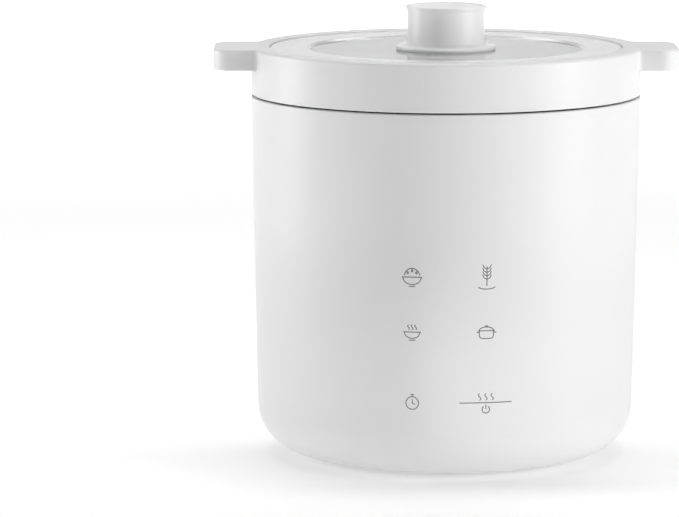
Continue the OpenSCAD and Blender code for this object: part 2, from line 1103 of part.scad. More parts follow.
module lid_ring() {
    color("white")
    rotate_extrude()
        difference() {
            union() {
                translate([window_r, glass_top])
                    square([ring_r - window_r, ring_t]);
                translate([ring_r - ring_wall, lid_seat])
                    square([ring_wall, ring_top - lid_seat]);
                translate([glass_r + gasket_t, gasket_low])
                    square([ring_inner_wall, ring_top - gasket_low]);
            }
            corner_cut(ring_r, ring_top, 0.8, 1, 1);
            corner_cut(window_r, ring_top, 0.8, -1, 1);
        }
}

module lid_glass() {
    color("lightgray", 0.6)
    difference() {
        post(glass_r, glass_low, glass_top);
        post(screw_hole_r, glass_low - 1, glass_top + 1);
        translate([0, vent_y, 0])
            post(vent_hole_r, glass_low - 1, glass_top + 1);
    }
}

module lid_gasket() {
    color("lightgray")
    rotate_extrude() {
        translate([glass_r, gasket_low])
            square([gasket_t, glass_top - gasket_low]);
        translate([glass_r - glass_lap, gasket_low])
            square([glass_lap + gasket_t, glass_low - gasket_low]);
    }
}

module lid_retainer() {
    in_r = glass_r - glass_lap;
    color("white")
    rotate_extrude()
        difference() {
            translate([in_r, retainer_low])
                square([ring_r - ring_wall - 0.2 - in_r, gasket_low - retainer_low]);
            corner_cut(in_r, retainer_low, 0.8, -1, -1);
        }
}

module knob() {
    bore = 2;
    boss_t = 3.2;
    fillet_r = grip_r + knob_fillet;
    fillet_z = knob_low + flange_t + knob_fillet;
    color("white")
    rotate_extrude()
        difference() {
            union() {
                translate([bore, knob_low])
                    square([flange_r - bore, flange_t]);
                translate([grip_r - knob_wall, knob_low])
                    square([knob_wall, cap_seat - knob_low]);
                translate([bore, knob_low])
                    square([boss_t, knob_boss_h]);
                // Hollow curve from the flange up into the grip
                difference() {
                    translate([grip_r - 1, knob_low + 1])
                        square([fillet_r - grip_r + 1, fillet_z - knob_low - 1]);
                    translate([fillet_r, fillet_z])
                        circle(r = knob_fillet, $fn = 48);
                }
            }
            corner_cut(flange_r, knob_low + flange_t, 0.8, 1, 1);
            corner_cut(flange_r, knob_low, 0.4, 1, -1);
        }
}

module knob_cap() {
    plug_t = 2.1;
    dish_r = cap_lip_r - 1.6;
    color("white")
    rotate_extrude()
        difference() {
            union() {
                translate([0, cap_seat])
                    square([cap_lip_r, cap_lip_t]);
                translate([grip_r - knob_wall - 0.1 - plug_t, cap_seat - cap_plug_h])
                    square([plug_t, cap_plug_h + eps]);
            }
            corner_cut(cap_lip_r, knob_top, 0.6, 1, 1);
            corner_cut(cap_lip_r, cap_seat, 0.4, 1, -1);
            // Shallow dish in the top
            translate([-eps, knob_top - dish_depth])
                square([dish_r + eps, dish_depth + 1]);
        }
}

// Silicone washers above and below the glass
module knob_washers() {
    color("gainsboro") {
        ring(screw_hole_r, knob_seal_r, glass_top, knob_low);
        ring(screw_hole_r, 10, gasket_low + 0.4, glass_low);
    }
}

// Screw with its steel washer, from under the glass up into the knob
module knob_screw() {
    washer_low = gasket_low - 0.4;
    color("silver") {
        ring(2.05, 8, washer_low, washer_low + 0.8);
        translate([0, 0, washer_low])
            screw(3.6, 2.2, 1.95, 19);
    }
}

module vent_grommet() {
    color("gainsboro")
    translate([0, vent_y, 0]) {
        ring(2.5, 7.5, glass_top, glass_top + 1);
        ring(2.5, vent_hole_r - 0.05, glass_low - eps, glass_top + eps);
        ring(2.5, 6.5, glass_low - 1, glass_low);
    }
}

outer_shell();
top_trim_ring();
inner_liner();
base_plate();
base_screws();
rubber_feet();
heater_plate();
heater_element();
heater_terminals();
plate_supports();
support_screws();
thermal_fuse();
fuse_clip();
sensor_housing();
housing_screws();
sensor_spring();
sensor_cap();
thermistor();
sensor_clip();
sensor_lead();
power_board();
board_screws();
relay();
transformer();
film_capacitor();
bulk_capacitor();
varistor();
line_fuse();
terminal_block();
buzzer();
ribbon_header();
control_board();
control_bracket();
bracket_screws();
touch_springs();
key_leds();
control_chip();
ribbon_cable();
power_inlet();
inlet_pins();
inlet_screws();
mains_leads();
earth_lead();
heater_leads();
inner_pot();
pot_collar();
ear_covers();
clamp_ring();
clamp_screws();
lid_ring();
lid_glass();
lid_gasket();
lid_retainer();
knob();
knob_cap();
knob_washers();
knob_screw();
vent_grommet();
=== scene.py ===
"""A small rice cooker: smooth shells, lid, knob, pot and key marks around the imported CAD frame."""
import json
import math

import bmesh
import bpy
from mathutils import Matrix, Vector


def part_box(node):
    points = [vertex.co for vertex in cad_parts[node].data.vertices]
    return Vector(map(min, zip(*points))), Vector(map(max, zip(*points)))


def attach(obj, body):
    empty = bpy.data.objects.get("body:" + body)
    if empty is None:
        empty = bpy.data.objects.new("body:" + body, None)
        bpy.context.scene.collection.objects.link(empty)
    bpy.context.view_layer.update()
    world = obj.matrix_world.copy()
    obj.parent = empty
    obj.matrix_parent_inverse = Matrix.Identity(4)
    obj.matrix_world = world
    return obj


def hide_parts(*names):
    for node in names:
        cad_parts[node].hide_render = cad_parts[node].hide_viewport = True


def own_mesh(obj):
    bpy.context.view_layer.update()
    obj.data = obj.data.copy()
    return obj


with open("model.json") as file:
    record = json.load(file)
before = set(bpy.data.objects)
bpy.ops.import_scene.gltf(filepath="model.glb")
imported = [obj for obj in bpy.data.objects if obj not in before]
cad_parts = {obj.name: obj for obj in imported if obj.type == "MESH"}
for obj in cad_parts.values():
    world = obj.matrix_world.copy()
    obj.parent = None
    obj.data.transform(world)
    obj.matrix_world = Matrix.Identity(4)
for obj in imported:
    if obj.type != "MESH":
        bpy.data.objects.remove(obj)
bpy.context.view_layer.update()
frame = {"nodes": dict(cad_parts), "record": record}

MM = 0.001
STEPS = 288            # facets round a turned piece
ARC_STEPS = 7          # facets round a small edge
BIG_ARC_STEPS = 24     # facets round the shell's big corners
TOOL_SIDES = 64        # facets round a cylinder that cuts other pieces
SHARP = 35             # degrees from which an edge of a new piece is shaded sharp
SHARP_AGAIN = 30       # the same after a cut or a bevel
WELD = 1e-6            # points closer than this are one point

# ---------------------------------------------------------------- sizes, from the frame

shell_low, shell_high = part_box("outer_shell")
collar_low, collar_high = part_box("pot_collar")
ring_low, ring_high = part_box("lid_ring")
glass_low, glass_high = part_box("lid_glass")
gasket_low, gasket_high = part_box("lid_gasket")
retainer_low, retainer_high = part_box("lid_retainer")
knob_low, knob_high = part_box("knob")
cap_low, cap_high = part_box("knob_cap")
pot_low, pot_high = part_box("inner_pot")
inlet_low, inlet_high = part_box("power_inlet")
cover_low, cover_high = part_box("ear_covers")
plate_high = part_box("base_plate")[1]

BODY_R = shell_high.x
BASE_Z = shell_low.z
RIM_Z = shell_high.z
FOOT_R = 96.8 * MM     # shell radius just above the bottom corner
CORNER_R = 25 * MM     # rounding of the bottom corner
SHELL_T = 2.4 * MM     # wall thickness
KNEE_Z = BASE_Z + CORNER_R

EAR_WALL = 2.35 * MM   # from the cover in an ear to the ear's side
EAR_END = collar_high.x
EAR_HALF = cover_high.y + EAR_WALL
EAR_ROUND = 10 * MM    # rounding of an ear's outer corners
EAR_LOW = cover_low.z
EAR_FILLET = 3 * MM    # rounding where an ear meets the collar

LID_GAP = 0.2 * MM     # between the lid and the collar
MOUTH_R = ring_high.x + LID_GAP
COLLAR_T = 2.6 * MM


def wall_r(z):
    """Radius of the shell's outside at height z."""
    if z >= KNEE_Z:
        return FOOT_R + (BODY_R - FOOT_R) * (z - KNEE_Z) / (RIM_Z - KNEE_Z)
    return FOOT_R - CORNER_R + math.sqrt(CORNER_R ** 2 - (KNEE_Z - z) ** 2)


# ---------------------------------------------------------------- mesh helpers

def add_object(name, bm):
    """Turns a bmesh into an object in the scene."""
    mesh = bpy.data.meshes.new(name)
    bm.to_mesh(mesh)
    bm.free()
    obj = bpy.data.objects.new(name, mesh)
    bpy.context.scene.collection.objects.link(obj)
    return obj


def mark_sharp(obj, degrees):
    """Smooth shading, with sharp edges from an angle up."""
    mesh = obj.data
    mesh.polygons.foreach_set("use_smooth", [True] * len(mesh.polygons))
    mesh.set_sharp_from_angle(angle=math.radians(degrees))


def weigh_normals(obj, keep_sharp):
    """Weights normals by face area, so that flats stay flat."""
    obj.modifiers.new("weighted", "WEIGHTED_NORMAL").keep_sharp = keep_sharp


def new_piece(name, verts, faces, body, material):
    """A mesh piece with a material, which rides on a body."""
    mesh = bpy.data.meshes.new(name)
    mesh.from_pydata([tuple(v) for v in verts], [], faces)
    bm = bmesh.new()
    bm.from_mesh(mesh)
    bmesh.ops.remove_doubles(bm, verts=bm.verts, dist=WELD)
    bmesh.ops.recalc_face_normals(bm, faces=bm.faces)
    bm.to_mesh(mesh)
    bm.free()
    obj = bpy.data.objects.new(name, mesh)
    bpy.context.scene.collection.objects.link(obj)
    mark_sharp(obj, SHARP)
    weigh_normals(obj, keep_sharp=True)
    obj.data.materials.append(material)
    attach(obj, body)
    return obj


def loop_faces(count, n, closed):
    """Quads between count sections of n points each; closed joins the last section to the first."""
    return [
        (k * n + i, k * n + (i + 1) % n, (k + 1) % count * n + (i + 1) % n, (k + 1) % count * n + i)
        for k in range(count if closed else count - 1) for i in range(n)
    ]


def arc(cx, cy, rx, ry=None, start=0, end=360, steps=28):
    """Points on an arc of a circle or an ellipse, between angles in degrees."""
    ry = rx if ry is None else ry
    return [
        (cx + rx * math.cos(math.radians(start + (end - start) * k / steps)),
         cy + ry * math.sin(math.radians(start + (end - start) * k / steps)))
        for k in range(steps + 1)
    ]


def rounded(corners, steps=ARC_STEPS):
    """A closed outline from (x, y, radius) corners, each rounded by an arc of its radius."""
    outline = []
    count = len(corners)
    for i, (x, y, r) in enumerate(corners):
        here = Vector((x, y))
        if r <= 0:
            outline.append(here)
            continue
        before = Vector(corners[i - 1][:2])
        after = Vector(corners[(i + 1) % count][:2])
        u = (before - here).normalized()
        v = (after - here).normalized()
        half = math.acos(max(-1, min(1, u.dot(v)))) / 2
        centre = here + (u + v).normalized() * (r / math.sin(half))
        start = here + u * (r / math.tan(half)) - centre
        end = here + v * (r / math.tan(half)) - centre
        turn = math.atan2(start.x * end.y - start.y * end.x, start.dot(end))
        for k in range(steps + 1):
            a = turn * k / steps
            spin = Vector((
                start.x * math.cos(a) - start.y * math.sin(a),
                start.x * math.sin(a) + start.y * math.cos(a),
            ))
            outline.append(centre + spin)
    return outline


def lathe_mesh(outline):
    """Vertices and faces of a closed (radius, height) outline turned about Z."""
    verts, faces = [], []
    for k in range(STEPS):
        a = 2 * math.pi * k / STEPS
        verts += [(p[0] * math.cos(a), p[0] * math.sin(a), p[1]) for p in outline]
    n = len(outline)
    for k in range(STEPS):
        here, there = k * n, ((k + 1) % STEPS) * n
        for i in range(n):
            j = (i + 1) % n
            on_axis = outline[i][0] == 0, outline[j][0] == 0
            if all(on_axis):
                continue
            if on_axis[0]:
                faces.append((i, there + j, here + j))
            elif on_axis[1]:
                faces.append((here + i, there + i, j))
            else:
                faces.append((here + i, there + i, there + j, here + j))
    return verts, faces


def lathe(name, corners, body, material):
    """A turned piece from (radius, height, rounding) corners in millimetres."""
    outline = rounded([(r * MM, z * MM, e * MM) for r, z, e in corners])
    verts, faces = lathe_mesh(outline)
    return new_piece(name, verts, faces, body, material)


def box_tool(name, low, high):
    """A plain box used only to change other pieces."""
    bm = bmesh.new()
    bmesh.ops.create_cube(bm, size=1)
    for v in bm.verts:
        v.co = Vector(low[i] + (high[i] - low[i]) * (v.co[i] + 0.5) for i in range(3))
    return add_object(name, bm)


def cylinder_tool(name, radius, centre, low, high):
    """An upright cylinder used only to cut other pieces."""
    bm = bmesh.new()
    bmesh.ops.create_cone(
        bm, cap_ends=True, segments=TOOL_SIDES, radius1=radius, radius2=radius, depth=high - low
    )
    bmesh.ops.translate(bm, verts=bm.verts, vec=(centre[0], centre[1], (low + high) / 2))
    return add_object(name, bm)


def cut(obj, tools, operation="DIFFERENCE"):
    """Cuts solids out of a piece, or joins them to it, and removes them."""
    for tool in tools:
        change = obj.modifiers.new("cut", "BOOLEAN")
        change.operation = operation
        change.solver = "EXACT"
        change.object = tool
        while obj.modifiers[0] != change:
            obj.modifiers.move(obj.modifiers.find(change.name), 0)
        graph = bpy.context.evaluated_depsgraph_get()
        weigh = obj.modifiers.get("weighted")
        weigh.show_viewport = False
        graph.update()
        mesh = bpy.data.meshes.new_from_object(obj.evaluated_get(graph))
        old = obj.data
        obj.modifiers.remove(change)
        obj.data = mesh
        mesh.name = old.name
        weigh.show_viewport = True
        bpy.data.meshes.remove(old)
        bpy.data.objects.remove(tool)


# ---------------------------------------------------------------- materials

PLASTIC_IOR = 1.48
GLASS_IOR = 1.5
WAVE_NODE_SCALE = 20       # what the wave node multiplies its coordinates by
RING_RADIAN = 0.6 * MM     # the rings of turned metal are 2 pi times this apart
FLECK_SPACING = 1.6 * MM
FLECK_SHARE = 0.13         # a fleck's radius as a share of the spacing


def material(name):
    """A new node material, its tree, its shader and its object coordinates."""
    mat = bpy.data.materials.new(name)
    mat.use_nodes = True
    tree = mat.node_tree
    shader = tree.nodes["Principled BSDF"]
    coords = tree.nodes.new("ShaderNodeTexCoord").outputs["Object"]
    return mat, tree, shader, coords


def noise(tree, coords, size_mm, detail=3.0, stretch=(1, 1, 1)):
    """Noise whose grains are size_mm across, drawn out along the axes by stretch."""
    scale = tree.nodes.new("ShaderNodeMapping")
    scale.inputs["Scale"].default_value = [1 / s for s in stretch]
    tree.links.new(coords, scale.inputs["Vector"])
    tex = tree.nodes.new("ShaderNodeTexNoise")
    tex.inputs["Scale"].default_value = 1 / (size_mm * MM)
    tex.inputs["Detail"].default_value = detail
    tree.links.new(scale.outputs["Vector"], tex.inputs["Vector"])
    return tex.outputs["Fac"]


def remap(tree, value, low, high):
    """Maps noise, which lies mostly between a quarter and three quarters, on to low to high."""
    node = tree.nodes.new("ShaderNodeMapRange")
    node.inputs["From Min"].default_value = 0.25
    node.inputs["From Max"].default_value = 0.75
    node.inputs["To Min"].default_value = low
    node.inputs["To Max"].default_value = high
    tree.links.new(value, node.inputs["Value"])
    return node.outputs["Result"]


def tint(tree, value, dark, light):
    """Mixes two colours by a value."""
    node = tree.nodes.new("ShaderNodeMix")
    node.data_type = "RGBA"
    node.inputs["A"].default_value = (*dark, 1)
    node.inputs["B"].default_value = (*light, 1)
    tree.links.new(value, node.inputs["Factor"])
    return node.outputs["Result"]


def relief(tree, shader, heights):
    """Stacks bumps on a shader; heights are (value, depth in millimetres, strength)."""
    normal = None
    for value, depth, strength in heights:
        bump = tree.nodes.new("ShaderNodeBump")
        bump.inputs["Distance"].default_value = depth * MM
        bump.inputs["Strength"].default_value = strength
        tree.links.new(value, bump.inputs["Height"])
        if normal is not None:
            tree.links.new(normal, bump.inputs["Normal"])
        normal = bump.outputs["Normal"]
    tree.links.new(normal, shader.inputs["Normal"])


def shade(rgb, factor):
    """A colour made darker or lighter."""
    return tuple(min(1.0, c * factor) for c in rgb)


def moulded(name, rgb, rough, grain_mm=0.35, grain_depth=0.012):
    """Moulded plastic: faint clouding, a fine mould texture and a slight long wave."""
    mat, tree, shader, coords = material(name)
    cloud = noise(tree, coords, 34, 2)
    grain = noise(tree, coords, grain_mm, 2)
    wave = noise(tree, coords, 9, 1)
    tree.links.new(tint(tree, cloud, shade(rgb, 0.985), shade(rgb, 1.012)), shader.inputs["Base Color"])
    wear = noise(tree, coords, 6)
    tree.links.new(remap(tree, wear, rough - 0.03, rough + 0.03), shader.inputs["Roughness"])
    relief(tree, shader, [(wave, 0.02, 0.25), (grain, grain_depth, 0.6)])
    shader.inputs["IOR"].default_value = PLASTIC_IOR
    return mat


def metal(name, rgb, rough, stretch=(1, 1, 1), scratch_mm=0.25):
    """Bare metal with fine marks drawn out along one axis and cloudy wear."""
    mat, tree, shader, coords = material(name)
    lines = noise(tree, coords, scratch_mm, 4, stretch)
    cloud = noise(tree, coords, 14)
    tree.links.new(tint(tree, cloud, shade(rgb, 0.9), shade(rgb, 1.06)), shader.inputs["Base Color"])
    tree.links.new(remap(tree, lines, rough - 0.08, rough + 0.1), shader.inputs["Roughness"])
    relief(tree, shader, [(lines, 0.004, 0.5)])
    shader.inputs["Metallic"].default_value = 1
    return mat


def turned(name, rgb, rough):
    """Turned metal: fine rings about the Z axis over cloudy wear."""
    mat, tree, shader, coords = material(name)
    rings = tree.nodes.new("ShaderNodeTexWave")
    rings.wave_type = "RINGS"
    rings.rings_direction = "Z"
    rings.inputs["Scale"].default_value = 1 / (WAVE_NODE_SCALE * RING_RADIAN)
    rings.inputs["Distortion"].default_value = 0.15
    tree.links.new(coords, rings.inputs["Vector"])
    cloud = noise(tree, coords, 12)
    tree.links.new(tint(tree, cloud, shade(rgb, 0.9), shade(rgb, 1.05)), shader.inputs["Base Color"])
    wear = noise(tree, coords, 3)
    tree.links.new(remap(tree, wear, rough - 0.06, rough + 0.08), shader.inputs["Roughness"])
    relief(tree, shader, [(rings.outputs["Fac"], 0.01, 0.5), (cloud, 0.01, 0.2)])
    shader.inputs["Metallic"].default_value = 1
    return mat


def coated(name, rgb, rough):
    """Dark non-stick coating with pale flecks and an orange-peel surface."""
    mat, tree, shader, coords = material(name)
    fleck = tree.nodes.new("ShaderNodeTexVoronoi")
    fleck.inputs["Scale"].default_value = 1 / FLECK_SPACING
    tree.links.new(coords, fleck.inputs["Vector"])
    spot = tree.nodes.new("ShaderNodeMath")
    spot.operation = "LESS_THAN"
    spot.inputs[1].default_value = FLECK_SHARE
    tree.links.new(fleck.outputs["Distance"], spot.inputs[0])
    tree.links.new(tint(tree, spot.outputs["Value"], rgb, shade(rgb, 3.2)), shader.inputs["Base Color"])
    peel = noise(tree, coords, 0.8, 2)
    wear = noise(tree, coords, 5)
    tree.links.new(remap(tree, wear, rough - 0.05, rough + 0.07), shader.inputs["Roughness"])
    relief(tree, shader, [(peel, 0.03, 0.4)])
    return mat


def clear_glass(name, rgb, clear=1.0):
    """Tempered glass, polished, with a barely visible roller wave and a faint milkiness."""
    mat, tree, shader, coords = material(name)
    shader.inputs["Transmission Weight"].default_value = clear
    shader.inputs["IOR"].default_value = GLASS_IOR
    tree.links.new(tint(tree, noise(tree, coords, 60, 1), shade(rgb, 0.99), rgb), shader.inputs["Base Color"])
    tree.links.new(remap(tree, noise(tree, coords, 20), 0.015, 0.035), shader.inputs["Roughness"])
    relief(tree, shader, [(noise(tree, coords, 45, 1), 0.02, 0.08)])
    return mat


def rubbery(name, rgb, rough, milky=0.0):
    """Rubber or silicone: matte, faintly dusty, with a soft skin."""
    mat, tree, shader, coords = material(name)
    dust = noise(tree, coords, 2.5, 4)
    tree.links.new(tint(tree, dust, shade(rgb, 0.93), shade(rgb, 1.06)), shader.inputs["Base Color"])
    tree.links.new(remap(tree, dust, rough - 0.08, rough + 0.08), shader.inputs["Roughness"])
    relief(tree, shader, [(noise(tree, coords, 0.5, 3), 0.02, 0.5)])
    shader.inputs["Subsurface Weight"].default_value = milky
    shader.inputs["Subsurface Radius"].default_value = (1, 1, 1)
    shader.inputs["Subsurface Scale"].default_value = 1.5 * MM
    return mat


def printed(name, rgb):
    """Pad-printed ink: matte grey with slightly uneven cover."""
    mat, tree, shader, coords = material(name)
    cover = noise(tree, coords, 0.6, 3)
    tree.links.new(tint(tree, cover, shade(rgb, 0.9), shade(rgb, 1.15)), shader.inputs["Base Color"])
    tree.links.new(remap(tree, cover, 0.5, 0.65), shader.inputs["Roughness"])
    relief(tree, shader, [(cover, 0.004, 0.4)])
    return mat


shell_white = moulded("cooker_shell_white", (0.8, 0.8, 0.8), 0.36)
collar_white = moulded("cooker_collar_white", (0.8, 0.8, 0.8), 0.36)
lid_white = moulded("cooker_lid_white", (0.79, 0.79, 0.79), 0.18, grain_mm=1.2, grain_depth=0.003)
# Painted light: the knob's white is a lighter copy of the shell's white plastic, lifted to stand in for light
# the knob lacks.
knob_white = moulded("cooker_knob_white_lightened", (0.93, 0.93, 0.93), 0.34, grain_mm=0.8, grain_depth=0.006)
trim_white = moulded("cooker_trim_white", (0.8, 0.8, 0.8), 0.5, grain_depth=0.02)
lid_clear = clear_glass("lid_clear", (0.93, 0.945, 0.94), 0.7)
pot_coat = coated("pot_coat", (0.028, 0.028, 0.03), 0.34)
silicone = rubbery("silicone_milky", (0.8, 0.8, 0.8), 0.42, 0.35)
ink = printed("key_ink", (0.15, 0.15, 0.15))
mark_ink = printed("level_ink", (0.5, 0.5, 0.5))
spring_wire = metal("spring_wire", (0.68, 0.69, 0.7), 0.3)

# ---------------------------------------------------------------- body shell

def shell_corners():
    """Half section of the shell, from the base opening round the outside to the rim and back down."""
    open_r = (plate_high.x + 0.4 * MM) / MM
    base, rim, low_r, top_r = BASE_Z / MM, RIM_Z / MM, FOOT_R / MM, BODY_R / MM
    corner, wall = CORNER_R / MM, SHELL_T / MM
    ledge, ledge_r = base + wall, 62
    taper = 0.5
    return [
        (open_r, base, 0.4),
        (low_r - taper, base, corner),
        (top_r, rim, 0.8),
        (top_r - wall, rim, 0.5),
        (low_r - wall - taper, ledge + 0.5, corner - wall),
        (ledge_r, ledge + wall, 0.5),
        (ledge_r, ledge, 0.4),
        (open_r, ledge, 0),
    ]


def shell_outline():
    """The shell's half section, with its big corners drawn finely and no needless points on small ones."""
    shortest = 0.02 * MM
    fine = rounded([(r * MM, z * MM, e * MM) for r, z, e in shell_corners()], BIG_ARC_STEPS)
    return [p for i, p in enumerate(fine) if (p - fine[i - 1]).length > shortest]


def inlet_tunnel(margin, depth):
    """A solid of the inlet's housing outline, used to cut its hole through the shell."""
    centre = (inlet_low + inlet_high) / 2
    half_x, half_z, chop = 13.5 * MM + margin, 10 * MM + margin, 5 * MM
    ring = [
        (-half_x, half_z), (half_x, half_z), (half_x, chop - half_z),
        (half_x - chop, -half_z), (chop - half_x, -half_z), (-half_x, chop - half_z),
    ]
    bm = bmesh.new()
    near = [bm.verts.new((x, inlet_high.y - depth, centre.z + z)) for x, z in ring]
    far = [bm.verts.new((x, inlet_high.y + depth, centre.z + z)) for x, z in ring]
    bm.faces.new(near)
    bm.faces.new(far)
    for i in range(len(ring)):
        j = (i + 1) % len(ring)
        bm.faces.new((near[i], near[j], far[j], far[i]))
    bmesh.ops.recalc_face_normals(bm, faces=bm.faces)
    return add_object("inlet_tunnel", bm)


def make_shell():
    """The body's outside, with the recess, pad and hole that hold the mains inlet."""
    verts, faces = lathe_mesh(shell_outline())
    shell = new_piece("body_shell", verts, faces, "base", shell_white)
    flange_t, gap, pad_rim, pad_t, past = 2.2 * MM, 0.4 * MM, 2 * MM, 1 * MM, 5 * MM
    recess_y = inlet_high.y - flange_t
    recess = box_tool(
        "inlet_recess",
        (inlet_low.x - gap, recess_y, inlet_low.z - gap),
        (inlet_high.x + gap, BODY_R + past, inlet_high.z + gap),
    )
    pad = box_tool(
        "inlet_pad",
        (inlet_low.x - pad_rim, recess_y - SHELL_T, inlet_low.z - pad_rim),
        (inlet_high.x + pad_rim, recess_y + pad_t, inlet_high.z + pad_rim),
    )
    tunnel_gap, tunnel_depth = 0.2 * MM, 12 * MM
    cut(shell, [pad], "UNION")
    cut(shell, [recess, inlet_tunnel(tunnel_gap, tunnel_depth)])
    mark_sharp(shell, SHARP_AGAIN)
    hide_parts("outer_shell")


# ---------------------------------------------------------------- collar with its ears

def ear_quarter():
    """Points and inward normals along one half of an ear, from its end to the round of the collar."""
    points = []
    end_x, half, r = EAR_END, EAR_HALF, EAR_ROUND
    end_steps, round_steps, side_steps, fillet_steps, circle_steps = 4, 12, 5, 10, 62
    for k in range(end_steps):
        points.append((Vector((end_x, (half - r) * k / end_steps)), Vector((-1, 0))))
    for k in range(round_steps + 1):
        a = math.radians(90 * k / round_steps)
        out = Vector((math.cos(a), math.sin(a)))
        points.append((Vector((end_x - r, half - r)) + out * r, -out))
    fillet = Vector((
        math.sqrt((BODY_R + EAR_FILLET) ** 2 - (half + EAR_FILLET) ** 2),
        half + EAR_FILLET,
    ))
    for k in range(1, side_steps):
        x = end_x - r + (fillet.x - end_x + r) * k / side_steps
        points.append((Vector((x, half)), Vector((0, -1))))
    last = math.atan2(-fillet.y, -fillet.x) % (2 * math.pi)
    first = math.radians(270)
    for k in range(fillet_steps + 1):
        a = first + (last - first) * k / fillet_steps
        out = Vector((math.cos(a), math.sin(a)))
        points.append((fillet + out * EAR_FILLET, out))
    start = math.atan2(points[-1][0].y, points[-1][0].x)
    for k in range(1, circle_steps + 1):
        a = start + (math.pi / 2 - start) * k / circle_steps
        out = Vector((math.cos(a), math.sin(a)))
        points.append((out * BODY_R, -out))
    return points


def plan_points():
    """The collar's whole outline seen from above, with its inward normals, anticlockwise from +X."""
    first = ear_quarter()

    def mirrored(points, sx, sy):
        return [(Vector((p.x * sx, p.y * sy)), Vector((n.x * sx, n.y * sy))) for p, n in points]

    second = mirrored(first, -1, 1)[::-1][1:]
    third = mirrored(first, -1, -1)[1:]
    fourth = mirrored(first, 1, -1)[::-1][1:-1]
    return first + second + third + fourth


def collar_column(p, inward):
    """One section of the collar, as points round a closed loop, at an outline point."""
    a = math.atan2(p.y, p.x)
    out = Vector((math.cos(a), math.sin(a)))
    reach = max(0.0, p.length - BODY_R)
    top, low = collar_high.z, collar_low.z
    seat, seat_t = ring_low.z, 2.2 * MM
    seat_r, mouth_t = pot_high.x - 6.8 * MM, 2.4 * MM
    inner, rim_t = BODY_R - COLLAR_T, 2.6 * MM
    mouth_round, top_round = 1.1 * MM, 1.4 * MM
    ear_round = min(top_round, 0.45 * reach)    # both shrink to nothing where there is no ear
    tuck = min(1.2 * MM, 0.3 * reach)
    foot_round, inner_round = 0.6 * MM, 0.4 * MM
    column = []

    def on_circle(r, z):
        column.append((out.x * r, out.y * r, z))

    def on_outline(x, z):
        q = p - inward * x
        column.append((q.x, q.y, z))

    def corner(put, x, z, r, start, end, steps):
        for q in arc(x, z, r, r, start, end, steps):
            put(*q)

    on_circle(seat_r, seat - seat_t)
    on_circle(seat_r, seat)
    on_circle(MOUTH_R, seat)
    corner(on_circle, MOUTH_R + mouth_round, top - mouth_round, mouth_round, 180, 90, 5)
    corner(on_outline, -top_round, top - top_round, top_round, 90, 0, 8)
    corner(on_outline, -ear_round, EAR_LOW + ear_round, ear_round, 0, -90, 6)
    corner(on_circle, BODY_R + tuck, EAR_LOW - tuck, tuck, 90, 180, 4)
    corner(on_circle, BODY_R - foot_round, low + foot_round, foot_round, 0, -90, 5)
    corner(on_circle, inner + inner_round, low + inner_round, inner_round, 270, 180, 3)
    on_circle(inner, top - rim_t)
    on_circle(MOUTH_R + mouth_t, top - rim_t)
    on_circle(MOUTH_R + mouth_t, seat - seat_t)
    return column


def make_collar():
    """The pot's collar and both ears, as one skin."""
    columns = [collar_column(p, n) for p, n in plan_points()]
    verts = [v for column in columns for v in column]
    faces = loop_faces(len(columns), len(columns[0]), closed=True)
    collar = new_piece("pot_collar_skin", verts, faces, "pot", collar_white)
    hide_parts("pot_collar")


# ---------------------------------------------------------------- lid

def make_lid():
    """The lid's ring, its pane with the vent hole, and the retainer under the pane."""
    top, low = ring_high.z / MM, ring_low.z / MM
    out_r = ring_high.x / MM
    glass_r, glass_top = glass_high.x / MM, glass_high.z / MM
    overlap, glass_t, hole_r, slope = 8, 4, 3.5, 1.7
    window_r = glass_r - overlap
    skirt_r = out_r - 2.4
    seal_low, seal_r = gasket_low.z / MM, gasket_high.x / MM
    seal_wall_r = seal_r + 1.8
    ring = lathe("lid_ring_skin", [
        (window_r, glass_top, 0), (window_r + slope, top, 1),
        (out_r, top, 0.5), (out_r, low, 0.5),
        (skirt_r, low, 0.5), (skirt_r, glass_top, 0.4), (seal_wall_r, glass_top, 0.4),
        (seal_wall_r, seal_low, 0.3), (seal_r, seal_low, 0.2), (seal_r, glass_top, 0),
    ], "lid", lid_white)
    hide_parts("lid_ring")

    glass = lathe("lid_glass_pane", [
        (hole_r, glass_top - glass_t, 0.3), (hole_r, glass_top, 0.3),
        (glass_r, glass_top, 0.6), (glass_r, glass_top - glass_t, 0.6),
    ], "lid", lid_clear)
    vent_r, vent_place = 5 * MM, (0, 45 * MM)
    cut(glass, [cylinder_tool("vent_hole", vent_r, vent_place, glass_low.z - MM, glass_high.z + MM)])
    mark_sharp(glass, SHARP_AGAIN)
    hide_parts("lid_glass")

    under, over, hold_r = retainer_low.z / MM, retainer_high.z / MM, retainer_high.x / MM
    inner_r = glass_r - 4
    retainer = lathe("lid_retainer_skin", [
        (inner_r, under, 0.8), (inner_r, over, 0.2), (hold_r, over, 0.2), (hold_r, under, 0.5),
    ], "lid", lid_white)
    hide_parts("lid_retainer")


# ---------------------------------------------------------------- knob

